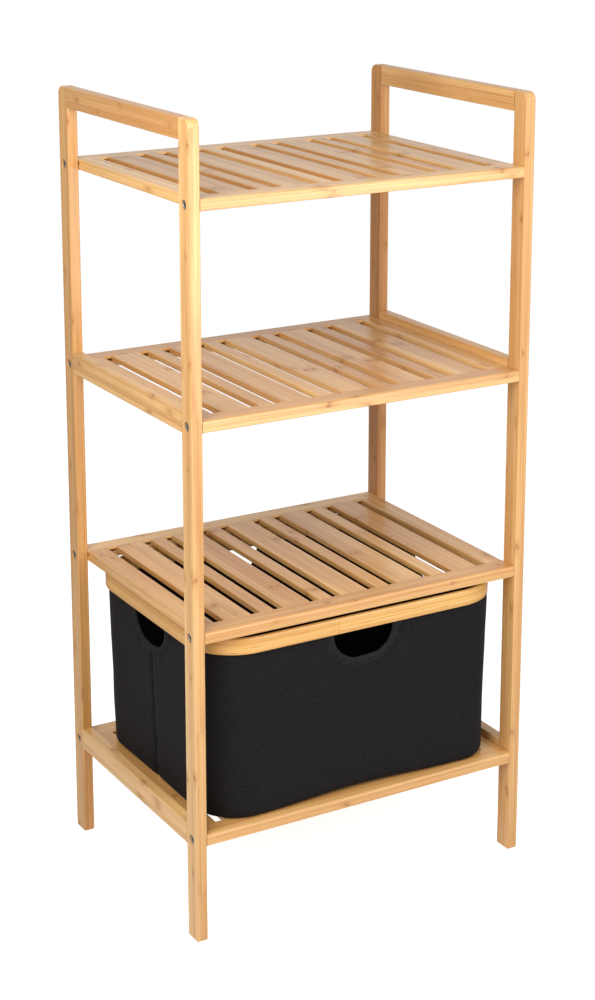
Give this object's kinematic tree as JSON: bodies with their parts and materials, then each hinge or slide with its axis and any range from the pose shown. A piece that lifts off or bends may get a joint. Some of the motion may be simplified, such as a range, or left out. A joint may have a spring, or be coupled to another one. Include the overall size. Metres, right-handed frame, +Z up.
{
  "type": "over the toilet storage rack",
  "caption": "Free-standing bamboo bathroom rack with open slatted shelves, raised side handles and a fabric basket that slides out of the lowest bay.",
  "frame": {"origin": "on the floor, at the centre of the footprint of the four posts", "axes": "+Z up, +X to the right seen from the front, +Y to the back"},
  "size_m": [0.45, 0.334, 0.95],
  "materials": {
    "bamboo": "satin lacquer over laminated bamboo",
    "rim_bamboo": "satin lacquer over a bent bamboo strip",
    "black_fabric": "plain weave, matte",
    "steel": "zinc plated, satin"
  },
  "bodies": {
    "rack": {"post_front_left": "bamboo", "post_rear_left": "bamboo", "handle_rail_left": "bamboo", "middle_side_rail_left": "bamboo", "lower_side_rail_left": "bamboo", "post_front_right": "bamboo", "post_rear_right": "bamboo", "handle_rail_right": "bamboo", "middle_side_rail_right": "bamboo", "lower_side_rail_right": "bamboo", "top_shelf_front_rail": "bamboo", "top_shelf_rear_rail": "bamboo", "top_shelf_end_board_left": "bamboo", "top_shelf_end_board_right": "bamboo", "top_shelf_slat_1": "bamboo", "top_shelf_slat_2": "bamboo", "top_shelf_slat_3": "bamboo", "top_shelf_slat_4": "bamboo", "top_shelf_slat_5": "bamboo", "top_shelf_slat_6": "bamboo", "top_shelf_slat_7": "bamboo", "top_shelf_slat_8": "bamboo", "top_shelf_slat_9": "bamboo", "second_shelf_front_rail": "bamboo", "second_shelf_rear_rail": "bamboo", "second_shelf_end_board_left": "bamboo", "second_shelf_end_board_right": "bamboo", "second_shelf_slats": "bamboo", "third_shelf_front_rail": "bamboo", "third_shelf_rear_rail": "bamboo", "third_shelf_end_board_left": "bamboo", "third_shelf_end_board_right": "bamboo", "third_shelf_slats": "bamboo", "bottom_shelf_front_rail": "bamboo", "bottom_shelf_rear_rail": "bamboo", "bottom_shelf_end_board_left": "bamboo", "bottom_shelf_end_board_right": "bamboo", "bottom_shelf_slats": "bamboo", "top_shelf_bolt_front_left": "steel", "top_shelf_bolt_front_right": "steel", "top_shelf_bolt_rear_left": "steel", "top_shelf_bolt_rear_right": "steel", "second_shelf_bolt_front_left": "steel", "second_shelf_bolt_front_right": "steel", "second_shelf_bolt_rear_left": "steel", "second_shelf_bolt_rear_right": "steel", "third_shelf_bolt_front_left": "steel", "third_shelf_bolt_front_right": "steel", "third_shelf_bolt_rear_left": "steel", "third_shelf_bolt_rear_right": "steel", "bottom_shelf_bolt_front_left": "steel", "bottom_shelf_bolt_front_right": "steel", "bottom_shelf_bolt_rear_left": "steel", "bottom_shelf_bolt_rear_right": "steel"},
    "basket": {"basket_rim": "rim_bamboo", "basket_bag": "black_fabric", "basket_base_board": "black_fabric"}
  },
  "joints": [
    {"name": "basket_slide", "type": "slide", "parent": "rack", "child": "basket", "axis": [0, -1, 0], "range_m": [0, 0.16]}
  ]
}
